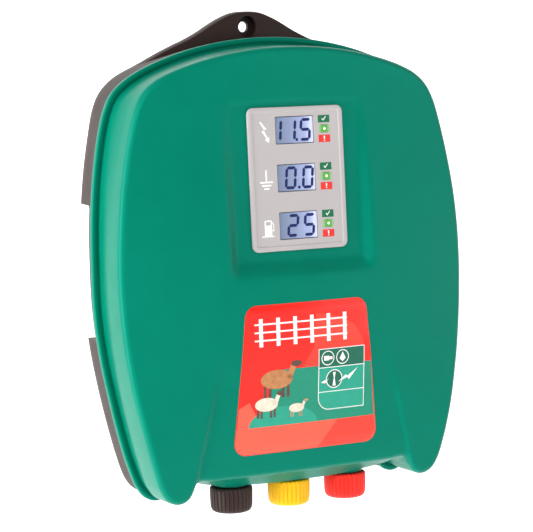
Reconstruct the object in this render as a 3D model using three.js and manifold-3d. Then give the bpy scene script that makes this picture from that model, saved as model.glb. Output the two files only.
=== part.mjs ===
// Wall-hung mains fence energizer, in millimetres, +Z up.
// The origin is the centre of the hanging hole, on the plane of the wall that the unit hangs on.
// +X is to the right as seen from the front, and +Y points into the wall, so the front faces -Y.
import * as THREE from "three";
import { mergeVertices } from "three/addons/utils/BufferGeometryUtils.js";
import Module from "manifold-3d";

const wasm = await Module();
wasm.setup();

// ---------------------------------------------------------------- driving dimensions
const GAP = 0.35; // clearance between pieces that touch on the real object
const WALL = 2.8; // thickness of both casing shells
const PARTING_Y = -31; // plane where the cover meets the rear housing
const FLANGE_FRONT_Y = -34.6; // front face of the cover's rim
const FLANGE_WIDTH = 5; // width of the rim that stands out round the cover's wall
const LEAN_RUN = 6; // depth over which the cover's wall leans in to the front edge, at the bottom
const EDGE_RADIUS = 3.5; // rounding between the cover's wall and its front

// Half outlines (x, z) from the top centre, round the right side, to the bottom centre.
const RIM_HALF = [
  [0, -6.7], [20, -7.6], [40, -10.2], [62, -15.2], [84, -23], [98, -30.3], [107.5, -38.5],
  [113, -49], [117, -63.6], [120.9, -87], [123.2, -112], [124, -140], [123.6, -169], [120.7, -197],
  [116, -222], [110.6, -246], [104.7, -267], [98.5, -282.5], [93, -289.3], [86, -292],
  [79.5, -290.3], [75, -285.8], [70.5, -282.3], [60, -283.2], [30, -284.6], [0, -285],
];
const WALL_HALF = [
  [0, -12.5], [20, -13.2], [40, -15.6], [60, -19.8], [80, -26], [92, -31.8], [100, -38.8],
  [105.3, -48.5], [109.8, -63.5], [115, -88], [118.6, -113], [120.6, -141], [120.3, -168],
  [118, -196], [114.4, -220], [109.3, -244], [103.8, -265], [98.6, -280], [93.6, -286.4],
  [86.6, -288.7], [80.7, -286.7], [77, -281.8], [73.2, -278.4], [62, -280.4], [30, -283.7], [0, -284.2],
];
const REAR_HALF = [
  [0, -9.5], [20, -10.5], [40, -13], [61, -17.5], [82, -24.5], [94, -31], [102, -39],
  [106.5, -48.5], [110, -64], [113.9, -87], [116.4, -111], [117.3, -140], [116.4, -169],
  [113.4, -196], [109, -221], [103.6, -245], [98, -266], [92.5, -281.5], [87.3, -288.3],
  [81, -291], [75.2, -289], [71.5, -284.5], [67.5, -281.6], [58, -282], [30, -283.4], [0, -283.8],
];

// The edge of the front face: as the wall, but its lower side is a nearly straight fold above the terminals.
const FRONT_HALF = [
  ...WALL_HALF.slice(0, 22), [73.4, -276.6], [62, -277], [30, -277.3], [0, -277.4],
];

// The front's crown on the centre line and its edge at the wall, as [z, y].
const CROWN = [[-290, -72.6], [-255, -75.6], [-220, -77.8], [-185, -78.6], [-150, -77.8],
  [-115, -75.2], [-80, -71.6], [-46, -68], [-10, -66]];
const EDGE = [[-290, -71], [-255, -72.6], [-220, -70.6], [-185, -68.4], [-150, -66.9],
  [-115, -66], [-80, -64.2], [-46, -63], [-10, -62.5]];
const CROWN_POWER = 2.2;

// Pocket round the display panel, and the panel itself, which leans back by the pocket floor's slope.
const PANEL = { halfWidth: 33.4, halfHeight: 44.25, centreZ: -93.85, radius: 3.2, proud: 1.8 };
const FLOOR_TOP_Y = -67;
const FLOOR_TOP_Z = -49.6;
const FLOOR_SLOPE = 0.0463; // change of y for each mm down the pocket
const POCKET = { halfWidth: 52, top: -44, bottom: -155, sideRun: 9, topRun: 4, bottomRun: 13 };
const APERTURE = { halfWidth: 30.5, halfHeight: 41.5 };
const APRON = { top: -190, fade: 60, depth: 1.6, halfWidth: 57, flare: 0.235, run: 2.5 };

// Display windows and status lights in the panel: x is across, z is down from the panel's centre.
const LCD = { x: -0.7, width: 27, height: 17, pitch: 29.4, firstZ: 29.85 };
const LAMP = { x: 20.2, width: 8.2, height: 5 };

// Terminals: three screw knobs under the cover.
const TERMINAL_Y = -49;
const TERMINAL_PITCH = 41;
const SEAT_Z = -284.9;
const KNOB = { radius: 13.5, height: 16, recessRadius: 9.4, recess: 1.9, boreRadius: 4.6 };
const STUD_RADIUS = 4;
const TERMINALS = [["earth", -1], ["reduced", 0], ["fence", 1]];

// Hanging tab, side grips and cable entry of the rear housing.
const TAB_HALF = [[0, 9.8], [9, 9], [17, 6.2], [25, 2.2], [33, -2.4], [42, -6.8], [52, -10.9], [62, -15.3],
  [72, -20.2], [80, -24.8]];
const TAB_THICKNESS = 9;
const HOLE_RADIUS = 3.4;
const COUNTERBORE = { radius: 7, depth: 6.5 };
const GRIP = { top: -106.7, bottom: -191, innerX: 96, frontY: -22 };
const GLAND = { x: -24, y: -16, bore: 4.6 };
const CASE_SCREWS = [[-80, -44], [80, -44], [-83, -262], [83, -262]];
const BOARD = { x: 0, z: -188, width: 150, height: 128, y: -12, thickness: 1.6 };
const BOARD_HOLES = [[-68, -131], [68, -131], [-68, -246], [68, -246]];

// ---------------------------------------------------------------- materials
const material = (colour, roughness, metalness = 0) =>
  new THREE.MeshStandardMaterial({ color: colour, roughness, metalness });
const GREEN = material(0x007a63, 0.45);
const DARK = material(0x3a2a28, 0.6);
const RUBBER = material(0x161616, 0.85);
const PANEL_GREY = material(0xbdb9ba, 0.4);
const GLASS = material(0x8d9bb5, 0.15);
const LAMP_GREEN = material(0x6fbf4a, 0.3);
const LABEL_RED = material(0xe3362c, 0.3);
const BLACK_KNOB = material(0x33231f, 0.5);
const YELLOW_KNOB = material(0xf0b400, 0.45);
const RED_KNOB = material(0xe9281e, 0.45);
const STEEL = material(0xb8babd, 0.35, 0.9);
const BRASS = material(0xc9a24a, 0.35, 0.9);
const COPPER = material(0xb3622e, 0.4, 0.8);
const CIRCUIT = material(0x1f6b3a, 0.5);
const CAN = material(0x1d3f8f, 0.4);
const IRON = material(0x55585c, 0.6, 0.6);
const ALUMINIUM = material(0xc4c7ca, 0.4, 0.8);
const WHITE = material(0xe9e9e4, 0.6);
const RED_WIRE = material(0xb0201c, 0.5);

// ---------------------------------------------------------------- geometry helpers
const vector = (x, y, z) => new THREE.Vector3(x, y, z);
const merged = (geometry) => {
  const bare = geometry.clone();
  bare.deleteAttribute("normal");
  bare.deleteAttribute("uv");
  return mergeVertices(bare, 1e-3);
};

function signedVolume(geometry) {
  const p = geometry.getAttribute("position");
  const [a, b, c] = [vector(), vector(), vector()];
  let volume = 0;
  for (let i = 0; i < geometry.index.count; i += 3) {
    a.fromBufferAttribute(p, geometry.index.getX(i));
    b.fromBufferAttribute(p, geometry.index.getX(i + 1));
    c.fromBufferAttribute(p, geometry.index.getX(i + 2));
    volume += a.dot(b.cross(c)) / 6;
  }
  return volume;
}

// The same closed surface with its faces pointing out.
function facingOut(geometry) {
  const g = merged(geometry);
  if (signedVolume(g) < 0) {
    const index = [];
    for (let i = 0; i < g.index.count; i += 3)
      index.push(g.index.getX(i), g.index.getX(i + 2), g.index.getX(i + 1));
    g.setIndex(index);
  }
  return g;
}

const toSolid = (geometry) => {
  const g = facingOut(geometry);
  return new wasm.Manifold(
    new wasm.Mesh({
      numProp: 3,
      vertProperties: new Float32Array(g.getAttribute("position").array),
      triVerts: new Uint32Array(g.index.array),
    }),
  );
};

const toGeometry = (solid) => {
  const mesh = solid.getMesh();
  const position = new Float32Array(mesh.numVert * 3);
  for (let i = 0; i < mesh.numVert; i++)
    position.set(mesh.vertProperties.subarray(i * mesh.numProp, i * mesh.numProp + 3), i * 3);
  return new THREE.BufferGeometry()
    .setAttribute("position", new THREE.BufferAttribute(position, 3))
    .setIndex(new THREE.BufferAttribute(new Uint32Array(mesh.triVerts), 1));
};

// Joins the geometries in `parts` and cuts away those in `cuts`.
const carve = (parts, cuts = []) => {
  let solid = toSolid(parts[0]);
  for (const part of parts.slice(1)) solid = solid.add(toSolid(part));
  for (const cut of cuts) solid = solid.subtract(toSolid(cut));
  return toGeometry(solid);
};

// A surface through rings of points: closed on itself as a hollow loop, or capped at both ends.
function loft(rings, capped) {
  const n = rings[0].length;
  const position = rings.flat().flatMap((p) => [p.x, p.y, p.z]);
  const index = [];
  const spans = capped ? rings.length - 1 : rings.length;
  for (let r = 0; r < spans; r++) {
    const a = r * n;
    const b = ((r + 1) % rings.length) * n;
    for (let i = 0; i < n; i++) {
      const j = (i + 1) % n;
      index.push(a + i, b + i, a + j, a + j, b + i, b + j);
    }
  }
  if (capped)
    for (const [ring, forwards] of [[0, true], [rings.length - 1, false]]) {
      const flat = rings[ring].map((p) => new THREE.Vector2(p.x, p.z));
      const clockwise = THREE.ShapeUtils.isClockWise(flat);
      for (const [i, j, k] of THREE.ShapeUtils.triangulateShape(flat, [])) {
        const o = ring * n;
        const same = THREE.ShapeUtils.isClockWise([flat[i], flat[j], flat[k]]) === clockwise;
        index.push(...(same === forwards ? [o + i, o + j, o + k] : [o + i, o + k, o + j]));
      }
    }
  const g = new THREE.BufferGeometry()
    .setAttribute("position", new THREE.Float32BufferAttribute(position, 3))
    .setIndex(index);
  return facingOut(g);
}

const box = (width, depth, height, x = 0, y = 0, z = 0) =>
  new THREE.BoxGeometry(width, depth, height).translate(x, y, z);
// A rod along Y from y0 to y1, or along Z from z0 to z1.
const rodY = (radius, y0, y1, x, z, sides = 16) =>
  new THREE.CylinderGeometry(radius, radius, Math.abs(y1 - y0), sides).translate(x, (y0 + y1) / 2, z);
const rodZ = (radius, z0, z1, x = 0, y = 0, sides = 16) =>
  new THREE.CylinderGeometry(radius, radius, Math.abs(z1 - z0), sides)
    .rotateX(Math.PI / 2)
    .translate(x, y, (z0 + z1) / 2);
// A solid of revolution about Z, from (radius, z) points.
const turned = (profile, sides = 24) =>
  facingOut(
    new THREE.LatheGeometry(profile.map(([r, z]) => new THREE.Vector2(r, z)), sides).rotateX(Math.PI / 2),
  );
const closed = (profile) => [...profile, profile[0]];

// A plate in the XZ plane with round corners, from y0 back to y1.
function roundedPlate(halfWidth, halfHeight, radius, y0, y1) {
  const [w, h, r] = [halfWidth, halfHeight, radius];
  const shape = new THREE.Shape()
    .moveTo(-w + r, -h)
    .lineTo(w - r, -h)
    .absarc(w - r, -h + r, r, -Math.PI / 2, 0)
    .lineTo(w, h - r)
    .absarc(w - r, h - r, r, 0, Math.PI / 2)
    .lineTo(-w + r, h)
    .absarc(-w + r, h - r, r, Math.PI / 2, Math.PI)
    .lineTo(-w, -h + r)
    .absarc(-w + r, -h + r, r, Math.PI, 1.5 * Math.PI);
  return new THREE.ExtrudeGeometry(shape, { depth: Math.abs(y1 - y0), bevelEnabled: false, curveSegments: 4 })
    .rotateX(Math.PI / 2)
    .translate(0, Math.max(y0, y1), 0);
}

// ---------------------------------------------------------------- casing shape
const mirrored = (half) => [...half, ...half.slice(1, -1).reverse().map(([x, z]) => [-x, z])];
const RIM = mirrored(RIM_HALF);
const BODY = mirrored(WALL_HALF);
const REAR = mirrored(REAR_HALF);
const FRONT = mirrored(FRONT_HALF);

// The outline moved outwards by `distance` along its own normals.
function offset(outline, distance) {
  const n = outline.length;
  return outline.map(([x, z], i) => {
    const [px, pz] = outline[(i + n - 1) % n];
    const [qx, qz] = outline[(i + 1) % n];
    const before = new THREE.Vector2(x - px, z - pz).normalize();
    const after = new THREE.Vector2(qx - x, qz - z).normalize();
    const along = before.add(after).normalize();
    return [x - along.y * distance, z + along.x * distance];
  });
}
const mix = (a, b, t) => a.map(([x, z], i) => [x + (b[i][0] - x) * t, z + (b[i][1] - z) * t]);
const atDepth = (outline, y) => outline.map(([x, z]) => vector(x, typeof y === "function" ? y(x, z) : y, z));

// Smooth value between the keys of a table of [z, value], sorted by z.
function between(keys, z) {
  const last = keys.length - 1;
  const k = Math.min(Math.max(keys.findIndex(([at]) => at > z) - 1, 0), last - 1);
  const i = z >= keys[last][0] ? last - 1 : k;
  const value = (n) => keys[Math.min(Math.max(n, 0), last)][1];
  const t = THREE.MathUtils.clamp((z - keys[i][0]) / (keys[i + 1][0] - keys[i][0]), 0, 1);
  return THREE.MathUtils.lerp(
    value(i) + (t * (value(i + 1) - value(i - 1))) / 2,
    value(i + 1) - ((1 - t) * (value(i + 2) - value(i))) / 2,
    t * t * (3 - 2 * t),
  );
}

const WALL_WIDTH = WALL_HALF.slice(6, 18).map(([x, z]) => [z, x]).reverse();
const ease = (value, run) => THREE.MathUtils.smoothstep(value, 0, run);
const floorY = (z) => FLOOR_TOP_Y + FLOOR_SLOPE * (z - FLOOR_TOP_Z);

// Depth of the cover's outer front surface at (x, z).
function frontY(x, z) {
  const across = Math.min(Math.abs(x) / between(WALL_WIDTH, z), 1);
  const crown = between(CROWN, z);
  let y = crown + (between(EDGE, z) - crown) * across ** CROWN_POWER;
  const apronEdge = APRON.halfWidth + APRON.flare * (APRON.top - z);
  y += APRON.depth * ease(APRON.top - z, APRON.fade) * ease(apronEdge - Math.abs(x), APRON.run);
  const inPocket =
    ease(POCKET.halfWidth - Math.abs(x), POCKET.sideRun) *
    ease(POCKET.top - z, POCKET.topRun) *
    ease(z - POCKET.bottom, POCKET.bottomRun);
  return THREE.MathUtils.lerp(y, Math.max(y, floorY(z)), inPocket);
}

// The point of a round-cornered frame about the panel that lies towards (x, z).
function towards([x, z], halfWidth, halfHeight, centreZ) {
  const SQUARENESS = 8;
  const angle = Math.atan2(z - centreZ, x);
  const [c, s] = [Math.cos(angle), Math.sin(angle)];
  const size =
    (Math.abs(c / halfWidth) ** SQUARENESS + Math.abs(s / halfHeight) ** SQUARENESS) ** (-1 / SQUARENESS);
  return [c * size, centreZ + s * size];
}

function frontCover() {
  const pocketMiddle = (POCKET.top + POCKET.bottom) / 2;
  const pocketHalf = (POCKET.top - POCKET.bottom) / 2;
  const mouth = BODY.map((p) => towards(p, POCKET.halfWidth, pocketHalf, pocketMiddle));
  const floor = BODY.map((p) => towards(p, POCKET.halfWidth - POCKET.sideRun, 46.4, -95));
  const aperture = BODY.map((p) =>
    towards(p, APERTURE.halfWidth - 4, APERTURE.halfHeight - 4, PANEL.centreZ));
  const rimBase = offset(RIM, -FLANGE_WIDTH);
  const edgeIn = offset(FRONT, -EDGE_RADIUS);
  const beforeEdge = offset(FRONT, -EDGE_RADIUS * 0.3);
  const toEdge = (x, z) => frontY(x, z);
  const outer = [
    atDepth(RIM, PARTING_Y),
    atDepth(RIM, FLANGE_FRONT_Y),
    atDepth(rimBase, FLANGE_FRONT_Y),
    atDepth(BODY, -50),
    atDepth(BODY, (x, z) => frontY(x, z) + EDGE_RADIUS + LEAN_RUN),
    atDepth(FRONT, (x, z) => frontY(x, z) + EDGE_RADIUS),
    atDepth(beforeEdge, (x, z) => frontY(x, z) + EDGE_RADIUS * 0.3),
    atDepth(edgeIn, toEdge),
    ...[0.25, 0.5, 0.75].map((t) => atDepth(mix(edgeIn, mouth, t), toEdge)),
    atDepth(mouth, toEdge),
    atDepth(floor, toEdge),
    atDepth(aperture, toEdge),
  ];
  const inwards = (x, z) => frontY(x, z) + WALL;
  const innerEdge = offset(FRONT, -EDGE_RADIUS - 2);
  const inner = [
    atDepth(aperture, inwards),
    atDepth(floor, inwards),
    atDepth(mix(mouth, innerEdge, 0.06), inwards),
    atDepth(mix(innerEdge, mouth, 0.5), inwards),
    atDepth(innerEdge, (x, z) => inwards(x, z) + 1),
    atDepth(offset(FRONT, -WALL - 0.8), (x, z) => frontY(x, z) + EDGE_RADIUS + WALL),
    atDepth(offset(BODY, -WALL), (x, z) => frontY(x, z) + EDGE_RADIUS + LEAN_RUN + 3),
    atDepth(offset(rimBase, -WALL), PARTING_Y),
  ];
  const bosses = CASE_SCREWS.map(([x, z]) => rodY(5, PARTING_Y - GAP, frontY(x, z) + 1.2, x, z, 12));
  const pads = TERMINALS.map(([, side]) =>
    rodZ(11, SEAT_Z + GAP, -278.8, side * TERMINAL_PITCH, TERMINAL_Y, 20));
  const cuts = [
    roundedPlate(APERTURE.halfWidth, APERTURE.halfHeight, 3, -90, -40).translate(0, 0, PANEL.centreZ),
    ...CASE_SCREWS.map(([x, z]) => rodY(2.2, PARTING_Y + 1, -55, x, z, 12)),
    ...TERMINALS.map(([, side]) => rodZ(9.4, -278.8, -265, side * TERMINAL_PITCH, TERMINAL_Y, 20)),
    ...TERMINALS.map(([, side]) => rodZ(4.4, -290, -270, side * TERMINAL_PITCH, TERMINAL_Y, 16)),
  ];
  return carve([loft([...outer, ...inner], false), ...bosses, ...pads], cuts);
}

function tabPlate() {
  const points = mirrored([...TAB_HALF, [0, -32]]).map(([x, z]) => new THREE.Vector2(x, z));
  const shape = new THREE.Shape(points);
  return new THREE.ExtrudeGeometry(shape, { depth: TAB_THICKNESS, bevelEnabled: false })
    .rotateX(Math.PI / 2);
}

function rearHousing() {
  const rimSide = mix(REAR, offset(RIM, -1.5), 0.85);
  const frontY0 = PARTING_Y + GAP;
  const outside = loft([atDepth(REAR, 0), atDepth(rimSide, frontY0)], true);
  const hollow = loft(
    [atDepth(offset(REAR, -WALL - 1), -WALL), atDepth(offset(rimSide, -WALL - 1.2), frontY0 - 2)],
    true,
  );
  const gripBlock = (side, grow) => {
    const outerX = 140;
    const inner = GRIP.innerX - grow;
    const depth = -GRIP.frontY + grow + 5;
    return box(outerX - inner, depth, GRIP.top - GRIP.bottom + 2 * grow,
      (side * (outerX + inner)) / 2, GRIP.frontY - grow + depth / 2, (GRIP.top + GRIP.bottom) / 2);
  };
  const sides = [-1, 1];
  const cavity = carve([hollow], sides.map((side) => gripBlock(side, WALL)));
  const bosses = CASE_SCREWS.map(([x, z]) => rodY(6.5, -1, frontY0, x, z, 12));
  const posts = BOARD_HOLES.map(([x, z]) => rodY(4.5, -1, BOARD.y + GAP, x, z, 10));
  const cuts = [
    cavity,
    ...sides.map((side) => gripBlock(side, 0)),
    rodY(HOLE_RADIUS, 2, -TAB_THICKNESS - 2, 0, 0, 24),
    rodY(COUNTERBORE.radius, -TAB_THICKNESS + COUNTERBORE.depth, -TAB_THICKNESS - 2, 0, 0, 24),
    rodZ(GLAND.bore + 1.6, -300, -270, GLAND.x, GLAND.y, 16),
  ];
  const shell = toGeometry(toSolid(carve([outside, tabPlate()], cuts)));
  const screwCuts = CASE_SCREWS.flatMap(([x, z]) => [
    rodY(2.4, 2, frontY0 - 2, x, z, 12),
    rodY(4.6, 2, -14, x, z, 12),
  ]);
  const postCuts = BOARD_HOLES.map(([x, z]) => rodY(1.7, -4, BOARD.y - 2, x, z, 10));
  return carve([shell, ...bosses, ...posts], [...screwCuts, ...postCuts]);
}

function housingSeal() {
  const outer = offset(RIM, -FLANGE_WIDTH - WALL - 1.3);
  const inner = offset(RIM, -FLANGE_WIDTH - WALL - 3.3);
  const [back, front] = [PARTING_Y - 0.2, PARTING_Y - 2.6];
  const rings = [
    atDepth(outer, back), atDepth(outer, front),
    atDepth(inner, front), atDepth(inner, back),
  ];
  return loft(rings, false);
}

// ---------------------------------------------------------------- display panel, in its own leaning frame
function displayPanel() {
  const { halfWidth, halfHeight, radius, proud } = PANEL;
  const rows = [0, 1, 2].map((row) => LCD.firstZ - row * LCD.pitch);
  const face = roundedPlate(halfWidth, halfHeight, radius, -proud, GAP < proud ? -GAP * 0.9 : 0);
  const body = roundedPlate(APERTURE.halfWidth - 1.6, APERTURE.halfHeight - 1.6, 2, -proud + 0.2, 4);
  const windows = rows.flatMap((z) => [
    box(LCD.width, 20, LCD.height, LCD.x, 0, z),
    box(LAMP.width, 20, LAMP.height, LAMP.x, 0, z),
  ]);
  return carve([face, body], windows);
}

const lcdGlass = () => box(LCD.width - 0.8, 2.4, LCD.height - 0.8, 0, 0.2, 0);
const backlight = () => box(LCD.width - 2, 3, LCD.height - 2, 0, 4.1, 0);
const lampLens = () =>
  carve([box(LAMP.width - 0.8, 3, LAMP.height - 0.8, 0, 0.3, 0), rodY(1.2, 1.4, 6, 0, 0, 12)]);

// ---------------------------------------------------------------- front label
// A thin skin that follows the cover's front.
function labelPlate(cover) {
  const CORNER = 8;
  const [topZ, bottomZ, topHalf, bottomHalf] = [-169.7, -262.6, 43, 50.3];
  const right = [];
  for (let k = 0; k <= 4; k++) {
    const a = (Math.PI / 2) * (1 - k / 4);
    right.push([topHalf - CORNER + CORNER * Math.cos(a), topZ - CORNER + CORNER * Math.sin(a)]);
  }
  for (let k = 0; k <= 4; k++) {
    const a = (-Math.PI / 2) * (k / 4);
    right.push([bottomHalf - CORNER + CORNER * Math.cos(a), bottomZ + CORNER + CORNER * Math.sin(a)]);
  }
  const outline = [...right, ...right.map(([x, z]) => [-x, z]).reverse()];
  const [lift, thickness] = [GAP, 0.6];
  const prism = loft([atDepth(outline, -95), atDepth(outline, -60)], true);
  const forwards = (distance) => cover.clone().translate(0, -distance, 0);
  const skin = toSolid(prism).intersect(toSolid(forwards(lift + thickness)));
  return toGeometry(skin.subtract(toSolid(forwards(lift))));
}

// ---------------------------------------------------------------- terminals, about an axis at x = y = 0
function knob() {
  const { radius, height, recessRadius, recess, boreRadius } = KNOB;
  const top = SEAT_Z - GAP * 0.3;
  const bottom = top - height;
  return turned(closed([
    [recessRadius, top], [radius - 0.3, top], [radius, top - 1], [radius - 0.5, bottom + 2.6],
    [radius - 1.4, bottom + 0.7], [radius - 3, bottom], [boreRadius + 2, bottom],
    [0, bottom], [0, bottom + 1.6], [boreRadius, bottom + 1.6],
    [boreRadius, top - recess - 9.2], [boreRadius + 2.4, top - recess - 9.2],
    [boreRadius + 2.4, top - recess], [recessRadius, top - recess],
  ]), 22);
}
const knobInsert = () => {
  const top = SEAT_Z - GAP * 0.3 - KNOB.recess - 0.3;
  const [inner, outer] = [STUD_RADIUS + 0.35, KNOB.boreRadius + 2.05];
  return turned(closed([[inner, top], [outer, top], [outer, top - 8.4], [inner, top - 8.4]]), 20);
};
const clampWasher = () => {
  const top = SEAT_Z - GAP * 0.3;
  return turned(closed([[STUD_RADIUS + 0.4, top], [KNOB.recessRadius - 0.5, top],
    [KNOB.recessRadius - 0.5, top - 1.5], [STUD_RADIUS + 0.4, top - 1.5]]), 20);
};
const stud = () => {
  const tip = SEAT_Z - 13.2;
  const end = -262;
  return turned([[0, tip], [STUD_RADIUS - 0.8, tip], [STUD_RADIUS, tip + 0.8],
    [STUD_RADIUS, end], [0, end]], 16);
};
const studNut = () =>
  carve([rodZ(7.5, -278.4, -271.9, 0, 0, 6)], [rodZ(STUD_RADIUS + 0.35, -290, -260, 0, 0, 12)]);
const leadTag = () =>
  carve([rodZ(7, -271.5, -270.5, 0, 0, 16), box(5, 1, 12, 0, 6.4, -265)],
    [rodZ(STUD_RADIUS + 0.35, -290, -268, 0, 0, 12)]);

// ---------------------------------------------------------------- cable entry
const glandBody = () => {
  const seat = -283.9;
  return turned(closed([[GLAND.bore, seat - 10], [GLAND.bore + 2, seat - 10], [GLAND.bore + 2, seat - 3],
    [GLAND.bore + 5, seat - 3], [GLAND.bore + 5, seat], [GLAND.bore + 1.2, seat],
    [GLAND.bore + 1.2, seat + 9], [GLAND.bore, seat + 9]]), 16);
};
const glandNut = () => {
  const top = -287.3;
  return turned(closed([[GLAND.bore + 2.4, top], [GLAND.bore + 4.4, top], [GLAND.bore + 4.4, top - 7],
    [GLAND.bore + 2.2, top - 9.4], [GLAND.bore, top - 9.4], [GLAND.bore, top - 7.4],
    [GLAND.bore + 2.4, top - 7.4]]), 12);
};
const glandLocknut = () =>
  carve([rodZ(GLAND.bore + 5.2, -278.9, -275.9, 0, 0, 6)], [rodZ(GLAND.bore + 1.6, -290, -270, 0, 0, 12)]);

// ---------------------------------------------------------------- electronics
const mainBoard = () =>
  carve([box(BOARD.width, BOARD.thickness, BOARD.height, BOARD.x, BOARD.y - BOARD.thickness / 2, BOARD.z)],
    BOARD_HOLES.map(([x, z]) => rodY(1.9, BOARD.y + 2, BOARD.y - 5, x, z, 10)));
const screwAlongY = (headRadius, headLength, shankRadius, length) =>
  carve([rodY(headRadius, 0, -headLength, 0, 0, 12), rodY(shankRadius, -headLength + 0.2, -length, 0, 0, 8)],
    [box(0.9, 1.6, headRadius * 1.3), box(headRadius * 1.3, 1.6, 0.9)]);

// A core of stacked plates with two windows, and the winding that goes through them round the middle leg.
const transformerCore = (width, depth, height) =>
  carve([box(width, depth, height)],
    [-1, 1].map((side) => box(width * 0.19, depth + 2, height * 0.6, side * width * 0.235, 0, 0)));
const transformerWinding = (width, depth, height) =>
  carve([box(width * 0.62, depth + 12, height * 0.56)],
    [box(width * 0.3, depth + 1, height, 0, 0, 0)]);

const capacitor = () => {
  const [radius, length] = [11, 40];
  return turned([[0, 0], [radius - 1, 0], [radius, 1], [radius, length - 3], [radius - 0.7, length - 2],
    [radius, length - 1], [radius - 1, length], [0, length]], 16);
};
const heatSink = () => {
  const fins = [-14, -7, 0, 7, 14].map((x) => box(1.4, 18, 30, x, -10.5, 0));
  return carve([box(32, 3, 30), ...fins]);
};
const thyristor = () =>
  carve([box(10, 4.4, 15), box(10, 1.3, 7, 0, 1.5, 10.6)], [rodY(1.7, -5, 5, 0, 11, 10)]);
const fuseHolder = () =>
  carve([box(30, 6, 9, 0, 0, 0), box(4, 9, 9, -11, -4, 0), box(4, 9, 9, 11, -4, 0)],
    [new THREE.CylinderGeometry(3, 3, 40, 12).rotateZ(Math.PI / 2).translate(0, -6.6, 0)]);
const fuse = () => new THREE.CylinderGeometry(2.6, 2.6, 24, 12).rotateZ(Math.PI / 2);

// A flat ribbon from the display board back to the main board.
function displayRibbon() {
  const STEPS = 8;
  const [frontY0, backY, topZ, sag, thickness] = [-62, -14, -128, 6, 0.7];
  const along = (edge) =>
    Array.from({ length: STEPS + 1 }, (_, i) => {
      const t = i / STEPS;
      return new THREE.Vector2(frontY0 + (backY - frontY0) * t, topZ - sag * Math.sin(Math.PI * t) + edge);
    });
  const shape = new THREE.Shape([...along(0), ...along(thickness).reverse()]);
  return new THREE.ExtrudeGeometry(shape, { depth: 16, bevelEnabled: false })
    .rotateY(Math.PI / 2)
    .rotateX(Math.PI / 2);
}

// A wire of round section through points.
function wire(points, radius) {
  const path = new THREE.CatmullRomCurve3(points.map(([x, y, z]) => vector(x, y, z)), false, "centripetal");
  const section = new THREE.Shape().absarc(0, 0, radius, 0, 2 * Math.PI);
  return new THREE.ExtrudeGeometry(section, {
    steps: 18, curveSegments: 3, bevelEnabled: false, extrudePath: path,
  });
}

// ---------------------------------------------------------------- assembly
const energizer = new THREE.Group();
function add(name, geometry, finish, parent = energizer, at = [0, 0, 0]) {
  const mesh = new THREE.Mesh(facingOut(geometry), finish);
  mesh.name = name;
  mesh.position.set(...at);
  parent.add(mesh);
  return mesh;
}

const cover = frontCover();
add("front_cover", cover, GREEN);
add("rear_housing", rearHousing(), DARK);
add("housing_seal", housingSeal(), RUBBER);
CASE_SCREWS.forEach(([x, z], i) =>
  add(`case_screw_${i + 1}`, screwAlongY(4, 3, 1.8, 38), STEEL, energizer, [x, -10.5, z]));

const display = new THREE.Group();
display.position.set(0, floorY(PANEL.centreZ), PANEL.centreZ);
display.rotation.x = -Math.atan(FLOOR_SLOPE);
energizer.add(display);
add("display_panel", displayPanel(), PANEL_GREY, display);
["upper", "middle", "lower"].forEach((row, i) => {
  const z = LCD.firstZ - i * LCD.pitch;
  add(`lcd_glass_${row}`, lcdGlass(), GLASS, display, [LCD.x, 0, z]);
  add(`backlight_${row}`, backlight(), WHITE, display, [LCD.x, 0, z]);
  add(`status_lens_${row}`, lampLens(), LAMP_GREEN, display, [LAMP.x, 0, z]);
});
add("display_board", box(60, 1.6, 86, 0, 7.4, 0), CIRCUIT, display);
add("front_label", labelPlate(cover), LABEL_RED);

const KNOB_FINISH = { earth: BLACK_KNOB, reduced: YELLOW_KNOB, fence: RED_KNOB };
for (const [name, side] of TERMINALS) {
  const at = [side * TERMINAL_PITCH, TERMINAL_Y, 0];
  add(`knob_${name}`, knob(), KNOB_FINISH[name], energizer, at);
  add(`knob_insert_${name}`, knobInsert(), BRASS, energizer, at);
  add(`clamp_washer_${name}`, clampWasher(), STEEL, energizer, at);
  add(`stud_${name}`, stud(), STEEL, energizer, at);
  add(`stud_nut_${name}`, studNut(), STEEL, energizer, at);
  add(`lead_tag_${name}`, leadTag(), COPPER, energizer, at);
}

const entry = [GLAND.x, GLAND.y, 0];
add("gland_body", glandBody(), RUBBER, energizer, entry);
add("gland_nut", glandNut(), RUBBER, energizer, entry);
add("gland_locknut", glandLocknut(), RUBBER, energizer, entry);

add("main_board", mainBoard(), CIRCUIT);
BOARD_HOLES.forEach(([x, z], i) =>
  add(`board_screw_${i + 1}`, screwAlongY(3, 2, 1.3, 8), STEEL, energizer,
    [x, BOARD.y - BOARD.thickness - 2.4, z]));

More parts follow.
